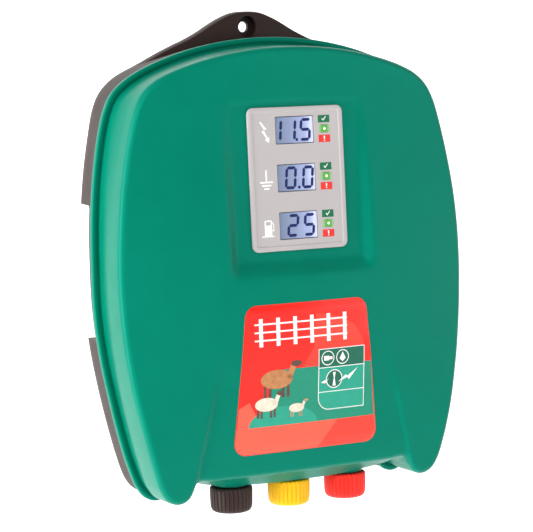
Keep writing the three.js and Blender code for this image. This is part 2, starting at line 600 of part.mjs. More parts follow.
add("output_transformer_core", transformerCore(50, 22, 42), IRON, energizer, [-40, -31.5, -160]);
add("output_transformer_winding", transformerWinding(50, 22, 42), COPPER, energizer, [-40, -31.5, -160]);
add("supply_transformer_core", transformerCore(38, 14, 32), IRON, energizer, [44, -27.5, -158]);
add("supply_transformer_winding", transformerWinding(38, 14, 32), COPPER, energizer, [44, -27.5, -158]);
[-56, -32, -8].forEach((x, i) =>
  add(`storage_capacitor_${i + 1}`, capacitor(), CAN, energizer, [x, -25.2, -232]));
add("heat_sink", heatSink(), ALUMINIUM, energizer, [44, -20.7, -200]);
add("thyristor", thyristor(), RUBBER, energizer, [16, -16.4, -196]);
add("fuse_holder", fuseHolder(), RUBBER, energizer, [44, -17.1, -230]);
add("fuse", fuse(), GLASS, energizer, [44, -23.7, -230]);
add("display_ribbon", displayRibbon(), WHITE);
for (const [name, side] of TERMINALS) {
  const x = side * TERMINAL_PITCH;
  const tagY = TERMINAL_Y + 6.4;
  const boardFace = BOARD.y - BOARD.thickness - 0.4;
  const route = [[x, boardFace, -242], [x, boardFace - 9, -243], [x, tagY + 6, -247], [x, tagY, -258.5]];
  add(`lead_${name}`, wire(route, 1.4), RED_WIRE);
}

export default energizer;
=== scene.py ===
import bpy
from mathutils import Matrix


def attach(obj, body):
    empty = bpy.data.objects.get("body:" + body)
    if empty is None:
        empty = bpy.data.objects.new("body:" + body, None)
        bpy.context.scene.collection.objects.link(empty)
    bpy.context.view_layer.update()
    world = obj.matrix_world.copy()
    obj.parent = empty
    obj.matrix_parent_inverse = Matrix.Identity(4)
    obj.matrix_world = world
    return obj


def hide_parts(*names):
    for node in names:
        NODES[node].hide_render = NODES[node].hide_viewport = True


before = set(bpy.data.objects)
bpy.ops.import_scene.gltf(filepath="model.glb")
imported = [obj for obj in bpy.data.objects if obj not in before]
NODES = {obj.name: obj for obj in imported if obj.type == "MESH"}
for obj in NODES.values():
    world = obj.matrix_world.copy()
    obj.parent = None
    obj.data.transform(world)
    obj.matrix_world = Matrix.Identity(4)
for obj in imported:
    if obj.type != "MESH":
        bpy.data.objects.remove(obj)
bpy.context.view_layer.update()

import math

import bmesh
import bpy
from mathutils import Matrix, Vector

MM = 0.001

# ------------------------------------------------------------------ camera


def make_camera():
    yaw, pitch, roll = math.radians(28), math.radians(5.854), math.radians(-1.4136)
    distance, across, rise = 1455.75, 16.192, -152.977
    forward = Vector((math.sin(yaw) * math.cos(pitch), math.cos(yaw) * math.cos(pitch), -math.sin(pitch)))
    right = Vector((math.cos(yaw), -math.sin(yaw), 0))
    up = right.cross(forward)
    x_axis = right * math.cos(roll) + up * math.sin(roll)
    y_axis = -right * math.sin(roll) + up * math.cos(roll)
    place = (-forward * distance + x_axis * across + y_axis * rise) * MM
    data = bpy.data.cameras.new("camera")
    data.sensor_width = 36
    data.lens = 153.63
    data.clip_start, data.clip_end = 0.05, 50
    camera = bpy.data.objects.new("camera", data)
    rows = Matrix((x_axis, y_axis, -forward)).transposed().to_4x4()
    camera.matrix_world = Matrix.Translation(place) @ rows
    bpy.context.scene.collection.objects.link(camera)
    bpy.context.scene.camera = camera


make_camera()

# ------------------------------------------------------------------ dimensions, in millimetres

WALL = 2.8
PARTING_Y = -31
FLANGE_FRONT_Y = -34.6
FLANGE_WIDTH = 5
LEAN_RUN = 6
EDGE_RADIUS = 3.5

RIM_HALF = [
    (0, -6.7), (20, -7.6), (40, -10.2), (62, -15.2), (84, -23), (98, -30.3), (107.5, -38.5),
    (113, -49), (117, -63.6), (120.9, -87), (123.2, -112), (124, -140), (123.6, -169), (120.7, -197),
    (116, -222), (110.6, -246), (104.7, -267), (98.5, -282.5), (93, -289.3), (86, -292),
    (79.5, -290.3), (75, -285.8), (70.5, -282.3), (60, -283.2), (30, -284.6), (0, -285),
]
WALL_HALF = [
    (0, -12.5), (20, -13.2), (40, -15.6), (60, -19.8), (80, -26), (92, -31.8), (100, -38.8),
    (105.3, -48.5), (109.8, -63.5), (115, -88), (118.6, -113), (120.6, -141), (120.3, -168),
    (118, -196), (114.4, -220), (109.3, -244), (103.8, -265), (98.6, -280), (93.6, -286.4),
    (86.6, -288.7), (80.7, -286.7), (77, -281.8), (73.2, -278.4), (62, -280.4), (30, -283.7), (0, -284.2),
]
REAR_HALF = [
    (0, -9.5), (20, -10.5), (40, -13), (61, -17.5), (82, -24.5), (94, -31), (102, -39),
    (106.5, -48.5), (110, -64), (113.9, -87), (116.4, -111), (117.3, -140), (116.4, -169),
    (113.4, -196), (109, -221), (103.6, -245), (98, -266), (92.5, -281.5), (87.3, -288.3),
    (81, -291), (75.2, -289), (71.5, -284.5), (67.5, -281.6), (58, -282), (30, -283.4), (0, -283.8),
]
FRONT_HALF = WALL_HALF[:22] + [(73.4, -276.6), (62, -277), (30, -277.3), (0, -277.4)]
CROWN = [(-290, -72.6), (-255, -75.6), (-220, -77.8), (-185, -78.6), (-150, -77.8),
         (-115, -75.2), (-80, -71.6), (-46, -68), (-10, -66)]
EDGE = [(-290, -71), (-255, -72.6), (-220, -70.6), (-185, -68.4), (-150, -66.9),
        (-115, -66), (-80, -64.2), (-46, -63), (-10, -62.5)]
CROWN_POWER = 2.2

PANEL = dict(half_width=33.4, half_height=44.25, centre_z=-93.85, radius=4.2, proud=1.8)
FIELD_Y = -1.35  # the panel's inner field, in the panel's own frame
FLOOR_TOP_Y, FLOOR_TOP_Z, FLOOR_SLOPE = -67, -49.6, 0.0463
POCKET = dict(half_width=52, top=-44, bottom=-155, side_run=9, top_run=4, bottom_run=13)
APERTURE = dict(half_width=30.5, half_height=41.5)
APRON = dict(top=-190, fade=60, depth=1.6, half_width=57, flare=0.235, run=2.5)
LCD = dict(x=-0.7, width=27, height=17, pitch=29.4, first_z=29.85)
LAMP = dict(x=20.2, width=5.6, height=5)
TERMINAL_Y, TERMINAL_PITCH, SEAT_Z = -49, 41, -284.9
TAB_HALF = [(0, 9.8), (9, 9), (17, 6.2), (25, 2.2), (33, -2.4), (42, -6.8), (52, -10.9), (62, -15.3),
            (72, -20.2), (80, -24.8)]
TAB_THICKNESS = 9
GRIP = dict(top=-106.7, bottom=-191, inner_x=96, front_y=-22)
HOLE = dict(radius=3.4, head_radius=7, head_y=-2.5)
SCREW_WELL = dict(radius=4.6, y=-2.9)
CASE_SCREWS = [(-80, -44), (80, -44), (-83, -262), (83, -262)]

# ------------------------------------------------------------------ materials


class Nodes:
    """A material's node tree, with short calls for the nodes used here."""

    def __init__(self, name):
        self.material = bpy.data.materials.new(name)
        self.material.use_nodes = True
        self.tree = self.material.node_tree
        self.shader = self.tree.nodes["Principled BSDF"]

    def add(self, kind, **values):
        node = self.tree.nodes.new(kind)
        for key, value in values.items():
            setattr(node, key, value)
        return node

    def link(self, a, b):
        self.tree.links.new(a, b)

    def place(self):
        return self.add("ShaderNodeTexCoord").outputs["Object"]

    def noise(self, scale, detail, stretch=None):
        node = self.add("ShaderNodeTexNoise")
        node.inputs["Scale"].default_value = scale
        node.inputs["Detail"].default_value = detail
        source = self.place()
        if stretch:
            mapping = self.add("ShaderNodeMapping")
            mapping.inputs["Scale"].default_value = stretch
            self.link(source, mapping.inputs["Vector"])
            source = mapping.outputs["Vector"]
        self.link(source, node.inputs["Vector"])
        return node.outputs["Fac"]

    def ramp(self, fac, stops):
        node = self.add("ShaderNodeValToRGB")
        elements = node.color_ramp.elements
        while len(elements) < len(stops):
            elements.new(0.5)
        for element, (at, colour) in zip(elements, stops):
            element.position = at
            element.color = (*colour, 1)
        self.link(fac, node.inputs["Fac"])
        return node.outputs["Color"]

    def range(self, fac, low, high):
        node = self.add("ShaderNodeMapRange")
        node.inputs["To Min"].default_value = low
        node.inputs["To Max"].default_value = high
        self.link(fac, node.inputs["Value"])
        return node.outputs["Result"]

    def bump(self, height, strength, distance):
        node = self.add("ShaderNodeBump")
        node.inputs["Strength"].default_value = strength
        node.inputs["Distance"].default_value = distance
        self.link(height, node.inputs["Height"])
        return node.outputs["Normal"]


def linear(hexa):
    values = [int(hexa[i:i + 2], 16) / 255 for i in (0, 2, 4)]
    return tuple(v / 12.92 if v <= 0.04045 else ((v + 0.055) / 1.055) ** 2.4 for v in values)


def shade(colour, factor):
    return tuple(min(1, c * factor) for c in colour)


def plastic(name, colour, roughness, spread=0.05, grain=2600, grain_strength=0.12, coat=0.0, specular=0.5):
    """Moulded plastic: slightly uneven colour and gloss over a fine spark-eroded grain."""
    n = Nodes(name)
    colour = linear(colour)
    broad = n.noise(40, 4)
    n.link(n.ramp(broad, [(0.3, shade(colour, 1 - spread)), (0.7, shade(colour, 1 + spread))]),
           n.shader.inputs["Base Color"])
    n.link(n.range(n.noise(120, 4), roughness - 0.05, roughness + 0.05), n.shader.inputs["Roughness"])
    n.link(n.bump(n.noise(grain, 2), grain_strength, 0.0001), n.shader.inputs["Normal"])
    n.shader.inputs["Specular IOR Level"].default_value = specular
    n.shader.inputs["Coat Weight"].default_value = coat
    n.shader.inputs["Coat Roughness"].default_value = 0.25
    return n.material


TOOL_MARKS = 900  # noise scale of the marks that machining leaves


def metal(name, colour, roughness, stretch=(1, 1, 1)):
    """Metal with fine tool marks, uneven in gloss and tint."""
    n = Nodes(name)
    colour = linear(colour)
    marks = n.noise(TOOL_MARKS, 4, stretch=stretch)
    n.link(n.ramp(n.noise(150, 3), [(0.3, shade(colour, 0.86)), (0.7, colour)]),
           n.shader.inputs["Base Color"])
    n.link(n.range(marks, roughness - 0.1, roughness + 0.12), n.shader.inputs["Roughness"])
    n.link(n.bump(marks, 0.25, 0.0001), n.shader.inputs["Normal"])
    n.shader.inputs["Metallic"].default_value = 1.0
    return n.material


def glass(name, colour, roughness, transmission):
    n = Nodes(name)
    n.link(n.ramp(n.noise(60, 2), [(0.2, shade(linear(colour), 0.94)), (0.8, linear(colour))]),
           n.shader.inputs["Base Color"])
    n.link(n.range(n.noise(300, 3), roughness, roughness + 0.06), n.shader.inputs["Roughness"])
    n.shader.inputs["Transmission Weight"].default_value = transmission
    return n.material


def lcd_face(name):
    """Display glass lit from one side: grey-blue at the left, pale blue at the right edge."""
    n = Nodes(name)
    split = n.add("ShaderNodeSeparateXYZ")
    n.link(n.place(), split.inputs["Vector"])
    at = n.add("ShaderNodeMapRange")
    half = LCD["width"] / 2
    at.inputs["From Min"].default_value = (LCD["x"] - half) * MM
    at.inputs["From Max"].default_value = (LCD["x"] + half) * MM
    n.link(split.outputs["X"], at.inputs["Value"])
    mottled = n.add("ShaderNodeMath", operation="MULTIPLY_ADD")
    n.link(n.noise(220, 4), mottled.inputs[0])
    mottled.inputs[1].default_value = 0.16
    n.link(at.outputs["Result"], mottled.inputs[2])
    stops = [(0.05, linear("707d96")), (0.45, linear("8290b0")),
             (0.85, linear("9da8cf")), (1.0, linear("c8cfee"))]
    colour = n.ramp(mottled.outputs["Value"], stops)
    n.link(colour, n.shader.inputs["Base Color"])
    n.link(n.range(n.noise(400, 2), 0.12, 0.2), n.shader.inputs["Roughness"])
    n.link(colour, n.shader.inputs["Emission Color"])
    n.shader.inputs["Emission Strength"].default_value = 0.05
    return n.material


def ink(name, colour, roughness=0.35, spread=0.04, glow=0.0, specular=0.3):
    """Screen-printed ink, with the slight mottle of a print."""
    n = Nodes(name)
    colour = linear(colour)
    mottle = n.ramp(n.noise(350, 4), [(0.3, shade(colour, 1 - spread)), (0.7, shade(colour, 1 + spread))])
    n.link(mottle, n.shader.inputs["Base Color"])
    n.link(n.range(n.noise(700, 2), roughness - 0.05, roughness + 0.05), n.shader.inputs["Roughness"])
    n.shader.inputs["Specular IOR Level"].default_value = specular
    if glow:
        n.link(mottle, n.shader.inputs["Emission Color"])
        n.shader.inputs["Emission Strength"].default_value = glow
    return n.material


def coil(name, colour):
    """Enamelled wire wound in close turns."""
    n = Nodes(name)
    wave = n.add("ShaderNodeTexWave", bands_direction="Z")
    wave.inputs["Scale"].default_value = 380
    wave.inputs["Distortion"].default_value = 0.4
    n.link(n.place(), wave.inputs["Vector"])
    n.link(n.ramp(wave.outputs["Fac"], [(0.0, shade(linear(colour), 0.35)), (0.6, linear(colour))]),
           n.shader.inputs["Base Color"])
    n.link(n.bump(wave.outputs["Fac"], 0.8, 0.0004), n.shader.inputs["Normal"])
    n.shader.inputs["Metallic"].default_value = 0.7
    n.shader.inputs["Roughness"].default_value = 0.35
    return n.material


def laminations(name):
    """Stacked sheet steel, seen on edge."""
    n = Nodes(name)
    wave = n.add("ShaderNodeTexWave", bands_direction="Y")
    wave.inputs["Scale"].default_value = 420
    wave.inputs["Distortion"].default_value = 0.6
    n.link(n.place(), wave.inputs["Vector"])
    n.link(n.ramp(wave.outputs["Fac"], [(0.1, linear("2c2d30")), (0.7, linear("6a6d72"))]),
           n.shader.inputs["Base Color"])
    n.link(n.bump(wave.outputs["Fac"], 0.5, 0.0003), n.shader.inputs["Normal"])
    n.shader.inputs["Metallic"].default_value = 0.8
    n.shader.inputs["Roughness"].default_value = 0.5
    return n.material


def circuit(name):
    """Green lacquered board with copper tracks showing under the lacquer."""
    n = Nodes(name)
    brick = n.add("ShaderNodeTexBrick")
    brick.inputs["Scale"].default_value = 130
    brick.inputs["Mortar Size"].default_value = 0.03
    brick.inputs["Color1"].default_value = (*linear("1d6b3b"), 1)
    brick.inputs["Color2"].default_value = (*linear("1a6036"), 1)
    brick.inputs["Mortar"].default_value = (*linear("3f8f5a"), 1)
    turn = n.add("ShaderNodeMapping")
    turn.inputs["Rotation"].default_value = (math.pi / 2, 0, 0)
    n.link(n.place(), turn.inputs["Vector"])
    n.link(turn.outputs["Vector"], brick.inputs["Vector"])
    n.link(brick.outputs["Color"], n.shader.inputs["Base Color"])
    n.link(n.bump(brick.outputs["Fac"], 0.3, 0.0001), n.shader.inputs["Normal"])
    n.link(n.range(n.noise(200, 2), 0.3, 0.42), n.shader.inputs["Roughness"])
    return n.material


GREEN = plastic("green_plastic", "00735c", 0.34, spread=0.03, grain=1900, grain_strength=0.1, specular=0.3)
GREEN.node_tree.nodes["Principled BSDF"].inputs["Specular Tint"].default_value = (0.12, 0.85, 0.8, 1)
DARK = plastic("dark_plastic", "2b1b17", 0.5, spread=0.07, grain=1500, grain_strength=0.25, specular=0.25)
GREY = plastic("panel_plastic", "b4aeae", 0.36, spread=0.02, grain=2400, grain_strength=0.08, specular=0.3)
KNOB_DARK = plastic("knob_dark_plastic", "2c1a16", 0.42, spread=0.08,
                    grain=2000, grain_strength=0.2, specular=0.3)
KNOB_YELLOW = plastic("knob_yellow_plastic", "f2b800", 0.4, spread=0.04,
                      grain=2000, grain_strength=0.15, specular=0.3)
KNOB_RED = plastic("knob_red_plastic", "f62a1d", 0.4, spread=0.04,
                   grain=2000, grain_strength=0.15, specular=0.3)
BLACK = plastic("black_plastic", "1c1b1b", 0.5, spread=0.1, grain=1600, grain_strength=0.25)
RUBBER = plastic("rubber", "141414", 0.8, spread=0.12, grain=900, grain_strength=0.35)
WHITE = plastic("white_plastic", "e8e7e2", 0.5, spread=0.03, grain=1800, grain_strength=0.15)
SLEEVE = plastic("capacitor_sleeve", "1c3f8e", 0.3, spread=0.06, grain=500, grain_strength=0.08, coat=0.3)
WIRE = plastic("wire_insulation", "b0201c", 0.45, spread=0.06, grain=700, grain_strength=0.12)
STEEL = metal("zinc_plated_steel", "c2c4c8", 0.32)
BRASS = metal("turned_brass", "c9a24a", 0.3, stretch=(1, 1, 12))
COPPER = metal("tinned_copper", "b87748", 0.34)
ALUMINIUM = metal("extruded_aluminium", "c9cccf", 0.36, stretch=(8, 8, 1))
COIL = coil("enamelled_wire", "b5622c")
LAMINATIONS = laminations("stacked_sheet_steel")
CIRCUIT = circuit("circuit_board")
LCD_FACE = lcd_face("lcd_face")
FUSE_GLASS = glass("fuse_glass", "dfe6e6", 0.08, 0.9)
LENS = ink("lens_green", "5aa544", 0.22, glow=0.05)
HALO = ink("lens_halo", "93b48a", 0.3)
LIGHT_DOT = ink("lit_dot", "fbfff6", 0.3, spread=0.02, glow=0.7)
NAVY = ink("lcd_navy", "0b1c5c", 0.3)
PRINT_WHITE = ink("print_white", "f3f1ef", 0.4)
PRINT_GREEN = ink("print_green", "0f6a44", 0.35)
PRINT_RED = ink("print_red", "e0332c", 0.35)
LABEL_RED = ink("label_red", "f81c10", 0.16, specular=0.4)
LABEL_CORAL = ink("label_coral", "f85a44", 0.16, specular=0.4)
LABEL_MID = ink("label_mid_red", "f83c2c", 0.16, specular=0.4)
LABEL_TEAL = ink("label_teal", "0a8a6e", 0.16, specular=0.4)
LABEL_PALE_TEAL = ink("label_pale_teal", "1e9c82", 0.16, specular=0.4)
LABEL_DEEP = ink("label_deep_green", "04634c", 0.16, specular=0.4)
HORSE = ink("label_tan", "b97c4c", 0.16, spread=0.16, specular=0.4)
HORSE_DARK = ink("label_brown", "5c4238", 0.16, spread=0.25, specular=0.4)
CREAM = ink("label_cream", "dfd6c2", 0.16, spread=0.12, specular=0.4)
CREAM_SHADE = ink("label_cream_shade", "a79878", 0.16, spread=0.2, specular=0.4)

# ------------------------------------------------------------------ mesh helpers


def make(name, vertices, faces, material, body="casing", smooth=None):
    """A mesh object in metres from points in millimetres, riding on a CAD body."""
    mesh = bpy.data.meshes.new(name)
    mesh.from_pydata([tuple(c * MM for c in v) for v in vertices], [], faces)
    bm = bmesh.new()
    bm.from_mesh(mesh)
    bmesh.ops.recalc_face_normals(bm, faces=bm.faces)
    bm.to_mesh(mesh)
    bm.free()
    return finish_object(name, mesh, material, body, smooth)


def finish_object(name, mesh, material, body, smooth):
    if smooth is not None:
        for polygon in mesh.polygons:
            polygon.use_smooth = True
        mesh.set_sharp_from_angle(angle=math.radians(smooth))
    piece = bpy.data.objects.new(name, mesh)
    piece.data.materials.append(material)
    bpy.context.scene.collection.objects.link(piece)
    if body:
        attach(piece, body)
    return piece


def ring_faces(count, points, closed_rings=False, first=0):
    faces = []
    for ring in range(count if closed_rings else count - 1):
        a, b = first + ring * points, first + (ring + 1) % count * points
        for i in range(points):
            j = (i + 1) % points
            faces.append((a + i, b + i, b + j, a + j))
    return faces


def capped_faces(count, points):
    """Faces between open rings, with a cap on the first ring and one on the last."""
    caps = [tuple(range(points)), tuple(reversed(range((count - 1) * points, count * points)))]
    return ring_faces(count, points) + caps


def lathe(profile, segments, x=0.0, y=0.0, closed=False, wobble=None):
    """Vertices and faces of a profile of (radius, z) turned about a vertical axis."""
    vertices = []
    for index, (radius, z) in enumerate(profile):
        for s in range(segments):
            angle = 2 * math.pi * s / segments
            r = radius * (wobble(index, angle) if wobble else 1)
            vertices.append((x + r * math.cos(angle), y + r * math.sin(angle), z))
    if closed:
        return vertices, ring_faces(len(profile), segments, True)
    return vertices, capped_faces(len(profile), segments)


# ------------------------------------------------------------------ casing shape

STEPS = 8  # points between two keys of an outline


def mirrored(half):
    return list(half) + [(-x, z) for x, z in reversed(half[1:-1])]


def smoothed(keys):
    """A smooth closed curve through the keys, with the same number of points between each pair."""
    n = len(keys)
    out = []
    for i in range(n):
        p0, p1, p2, p3 = (Vector(keys[(i + k) % n]) for k in (-1, 0, 1, 2))
        d1, d2, d3 = ((b - a).length ** 0.5 for a, b in ((p0, p1), (p1, p2), (p2, p3)))
        m1 = (p2 - p1) + d2 * ((p1 - p0) / d1 - (p2 - p0) / (d1 + d2))
        m2 = (p2 - p1) + d2 * ((p3 - p2) / d3 - (p3 - p1) / (d2 + d3))
        for s in range(STEPS):
            t = s / STEPS
            a, b = 2 * t**3 - 3 * t**2 + 1, t**3 - 2 * t**2 + t
            c, d = -2 * t**3 + 3 * t**2, t**3 - t**2
            out.append(tuple(p1 * a + m1 * b + p2 * c + m2 * d))
    return out


def offset(outline, distance):
    n = len(outline)
    out = []
    for i, point in enumerate(outline):
        before = (Vector(point) - Vector(outline[i - 1])).normalized()
        after = (Vector(outline[(i + 1) % n]) - Vector(point)).normalized()
        along = (before + after).normalized()
        out.append((point[0] - along.y * distance, point[1] + along.x * distance))
    return out


def mix(a, b, t):
    return [(p[0] + (q[0] - p[0]) * t, p[1] + (q[1] - p[1]) * t) for p, q in zip(a, b)]


def at_depth(outline, y):
    return [(x, y(x, z) if callable(y) else y, z) for x, z in outline]


def clamp(value, low=0.0, high=1.0):
    return max(low, min(high, value))


def ease(value, run):
    t = clamp(value / run)
    return t * t * (3 - 2 * t)


def between(keys, z):
    last = len(keys) - 1
    above = next((k for k, (at, _) in enumerate(keys) if at > z), -1)
    i = last - 1 if z >= keys[last][0] else min(max(above - 1, 0), last - 1)

    def value(k):
        return keys[min(max(k, 0), last)][1]

    t = clamp((z - keys[i][0]) / (keys[i + 1][0] - keys[i][0]))
    a = value(i) + t * (value(i + 1) - value(i - 1)) / 2
    b = value(i + 1) - (1 - t) * (value(i + 2) - value(i)) / 2
    return a + (b - a) * t * t * (3 - 2 * t)


WALL_WIDTH = [(z, x) for x, z in reversed(WALL_HALF[6:18])]


def floor_y(z):
    return FLOOR_TOP_Y + FLOOR_SLOPE * (z - FLOOR_TOP_Z)


def front_y(x, z):
    """Depth of the cover's front surface."""
    across = min(abs(x) / between(WALL_WIDTH, z), 1)
    crown = between(CROWN, z)
    y = crown + (between(EDGE, z) - crown) * across**CROWN_POWER
    apron_edge = APRON["half_width"] + APRON["flare"] * (APRON["top"] - z)
    y += APRON["depth"] * ease(APRON["top"] - z, APRON["fade"]) * ease(apron_edge - abs(x), APRON["run"])
    inside = (
        ease(POCKET["half_width"] - abs(x), POCKET["side_run"])
        * ease(POCKET["top"] - z, POCKET["top_run"])
        * ease(z - POCKET["bottom"], POCKET["bottom_run"])
    )
    return y + (max(y, floor_y(z)) - y) * inside


def towards(point, half_width, half_height, centre_z, squareness):
    """A point moved along its direction from the centre onto a rounded rectangle."""
    angle = math.atan2(point[1] - centre_z, point[0])
    c, s = math.cos(angle), math.sin(angle)
    size = (abs(c / half_width) ** squareness + abs(s / half_height) ** squareness) ** (-1 / squareness)
    return (c * size, centre_z + s * size)


RIM = smoothed(mirrored(RIM_HALF))
RIM = [(clamp(x, -124, 124), z) for x, z in RIM]
BODY = smoothed(mirrored(WALL_HALF))
FRONT = smoothed(mirrored(FRONT_HALF))
REAR = smoothed(mirrored(REAR_HALF))


def make_cover():
    middle = (POCKET["top"] + POCKET["bottom"]) / 2
    half = (POCKET["top"] - POCKET["bottom"]) / 2
    mouth = [towards(p, POCKET["half_width"] + 0.5, half, middle, 12) for p in BODY]
    floor = [towards(p, POCKET["half_width"] - POCKET["side_run"], 46.4, -95, 12) for p in BODY]
    aperture = [towards(p, APERTURE["half_width"], APERTURE["half_height"], PANEL["centre_z"], 16)
                for p in BODY]
    base = offset(RIM, -FLANGE_WIDTH)

    def wall_end(x, z):
        return front_y(x, z) + EDGE_RADIUS + LEAN_RUN

    rings = [
        at_depth(offset(RIM, -0.5), PARTING_Y),
        at_depth(RIM, PARTING_Y - 0.5),
        at_depth(RIM, FLANGE_FRONT_Y + 0.9),
        at_depth(offset(RIM, -0.3), FLANGE_FRONT_Y + 0.25),
        at_depth(offset(RIM, -1), FLANGE_FRONT_Y),
        at_depth(offset(RIM, -3.2), FLANGE_FRONT_Y),
        at_depth(offset(RIM, -3.4), FLANGE_FRONT_Y + 0.2),
        at_depth(offset(RIM, -3.5), FLANGE_FRONT_Y + 0.9),
        at_depth(offset(RIM, -4.5), FLANGE_FRONT_Y + 0.9),
        at_depth(base, FLANGE_FRONT_Y - 0.6),
        at_depth(mix(base, BODY, 0.3), -39.2),
        at_depth(mix(base, BODY, 0.65), -44.2),
        at_depth(mix(base, BODY, 0.93), -48.6),
        at_depth(BODY, -50.4),
        at_depth(BODY, lambda x, z: wall_end(x, z) + 0.8),
        at_depth(mix(BODY, FRONT, 0.06), lambda x, z: wall_end(x, z) - 0.4),
    ]

    def rounded(angle):
        turn = math.radians(angle)
        line = offset(FRONT, -EDGE_RADIUS * (1 - math.cos(turn)))
        return at_depth(line, lambda x, z: front_y(x, z) + EDGE_RADIUS * (1 - math.sin(turn)))

    rings += [rounded(angle) for angle in range(0, 91, 10)]
    edge = offset(FRONT, -EDGE_RADIUS)
    rings += [at_depth(mix(edge, mouth, k / 26), front_y) for k in range(1, 27)]
    rings += [at_depth(mix(mouth, floor, k / 10), front_y) for k in range(1, 11)]
    rings += [at_depth(mix(floor, aperture, k / 3), front_y) for k in range(1, 4)]

    def inwards(x, z):
        return front_y(x, z) + WALL

    inner = offset(FRONT, -EDGE_RADIUS - 2)
    rings += [at_depth(aperture, inwards), at_depth(floor, inwards)]
    rings += [at_depth(mix(mouth, inner, k / 5), inwards) for k in range(5)]
    rings += [
        at_depth(inner, lambda x, z: front_y(x, z) + WALL + 1),
        at_depth(offset(FRONT, -WALL - 0.8), lambda x, z: front_y(x, z) + EDGE_RADIUS + WALL),
        at_depth(offset(BODY, -WALL), lambda x, z: wall_end(x, z) + 3),
        at_depth(offset(base, -WALL), PARTING_Y),
    ]
    vertices = [v for ring in rings for v in ring]
    return make("cover_shell", vertices, ring_faces(len(rings), len(BODY), True), GREEN, smooth=50)


cover = make_cover()
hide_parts("front_cover")

# Sockets under the cover's lower wall, round each stud.
for side, name in ((-1, "earth"), (0, "reduced"), (1, "fence")):
    z0 = SEAT_Z + 0.35
    profile = [(4.4, z0), (10.4, z0), (11, z0 + 0.5), (11, z0 + 4), (4.4, z0 + 4)]
    turned = lathe(profile, 64, side * TERMINAL_PITCH, TERMINAL_Y, True)
    seat = make(f"terminal_seat_{name}", *turned, GREEN, smooth=40)


# ------------------------------------------------------------------ rear housing


def loft_object(name, rings):
    faces = capped_faces(len(rings), len(rings[0]))
    return make(name, [v for ring in rings for v in ring], faces, DARK, body=None)


def box_object(name, low, high, radius):
    bm = bmesh.new()
    bmesh.ops.create_cube(bm, size=1)
    for v in bm.verts:
        v.co = Vector([(low[k] + high[k]) / 2 + v.co[k] * (high[k] - low[k]) for k in range(3)]) * MM
    bmesh.ops.bevel(bm, geom=bm.edges[:], offset=radius * MM, segments=4, affect="EDGES", profile=0.5)
    mesh = bpy.data.meshes.new(name)
    bm.to_mesh(mesh)
    bm.free()
    return finish_object(name, mesh, DARK, None, None)


def rod_object(name, radius, y0, y1, x, z, segments=48):
    vertices, faces = lathe([(radius, y0), (radius, y1)], segments)
    turned = [(x + a, c, z + b) for a, b, c in vertices]
    return make(name, turned, faces, DARK, body=None)


def combine(target, others, operation):
    for other in others:
        modifier = target.modifiers.new("cut", "BOOLEAN")
        modifier.operation = operation
        modifier.solver = "EXACT"
        modifier.object = other
    depsgraph = bpy.context.evaluated_depsgraph_get()
    depsgraph.update()
    mesh = bpy.data.meshes.new_from_object(target.evaluated_get(depsgraph))
    target.modifiers.clear()
    target.data = mesh
    for other in others:
        bpy.data.objects.remove(other)
    return target


def dress(piece, material, sharp):
    """Smooth shading and one material, for a piece that has been cut."""
    for polygon in piece.data.polygons:
        polygon.use_smooth = True
    piece.data.set_sharp_from_angle(angle=math.radians(sharp))
    piece.data.materials.clear()
    piece.data.materials.append(material)


def make_rear():
    front = PARTING_Y + 0.35
    rim_side = mix(REAR, offset(RIM, -1.5), 0.85)

    def side(t):
        return mix(REAR, rim_side, t)

    rings = [
        at_depth(offset(REAR, -2.2), 0),
        at_depth(offset(REAR, -1.1), -0.3),
        at_depth(offset(REAR, -0.3), -1.1),
    ]
    rings += [at_depth(side(t), front * t) for t in (0.08, 0.3, 0.6, 0.9)]
    rings += [at_depth(rim_side, front + 0.4), at_depth(offset(rim_side, -0.4), front)]
    housing = loft_object("housing_shell", rings)
    tab_line = [p for p in smoothed(mirrored([*TAB_HALF, (0, -32)])) if p[1] > -23.8]
    right = [p for p in tab_line if p[0] >= 0]
    left = [p for p in tab_line if p[0] < 0]

    def tab_ring(inset, y):
        top = [(x, y, z - inset) for x, z in right], [(x, y, z - inset) for x, z in left]
        return [*top[0], (75, y, -33), (-75, y, -33), *top[1]]

    tab_rings = [
        tab_ring(1.2, -0.04), tab_ring(0.3, -0.4), tab_ring(0, -1.2), tab_ring(0, -TAB_THICKNESS + 2),
        tab_ring(0.6, -TAB_THICKNESS + 0.6), tab_ring(2, -TAB_THICKNESS),
    ]
    combine(housing, [loft_object("tab", tab_rings)], "UNION")
    cavity = loft_object("cavity", [at_depth(offset(REAR, -WALL - 1), -WALL),
                                    at_depth(offset(rim_side, -WALL - 1.2), front - 3)])
    inner_blocks, outer_blocks = [], []
    for s in (-1, 1):
        for store, grow in ((inner_blocks, WALL), (outer_blocks, 0)):
            xs = sorted((s * (GRIP["inner_x"] - grow), s * 145))
            store.append(box_object("grip", (xs[0], GRIP["front_y"] - grow, GRIP["bottom"] - grow),
                                    (xs[1], 12, GRIP["top"] + grow), 2.5))
    combine(cavity, inner_blocks, "DIFFERENCE")
    combine(housing, [cavity], "DIFFERENCE")
    cuts = outer_blocks
    cuts.append(rod_object("hole", HOLE["radius"], 3, -14, 0, 0))
    cuts.append(rod_object("counterbore", HOLE["head_radius"], HOLE["head_y"], -14, 0, 0, 64))
    for x, z in CASE_SCREWS:
        cuts.append(rod_object("screw_well", SCREW_WELL["radius"], 3, SCREW_WELL["y"], x, z))
    combine(housing, cuts, "DIFFERENCE")
    dress(housing, DARK, 32)
    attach(housing, "casing")
    return housing


rear = make_rear()
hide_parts("rear_housing")

# ------------------------------------------------------------------ knobs


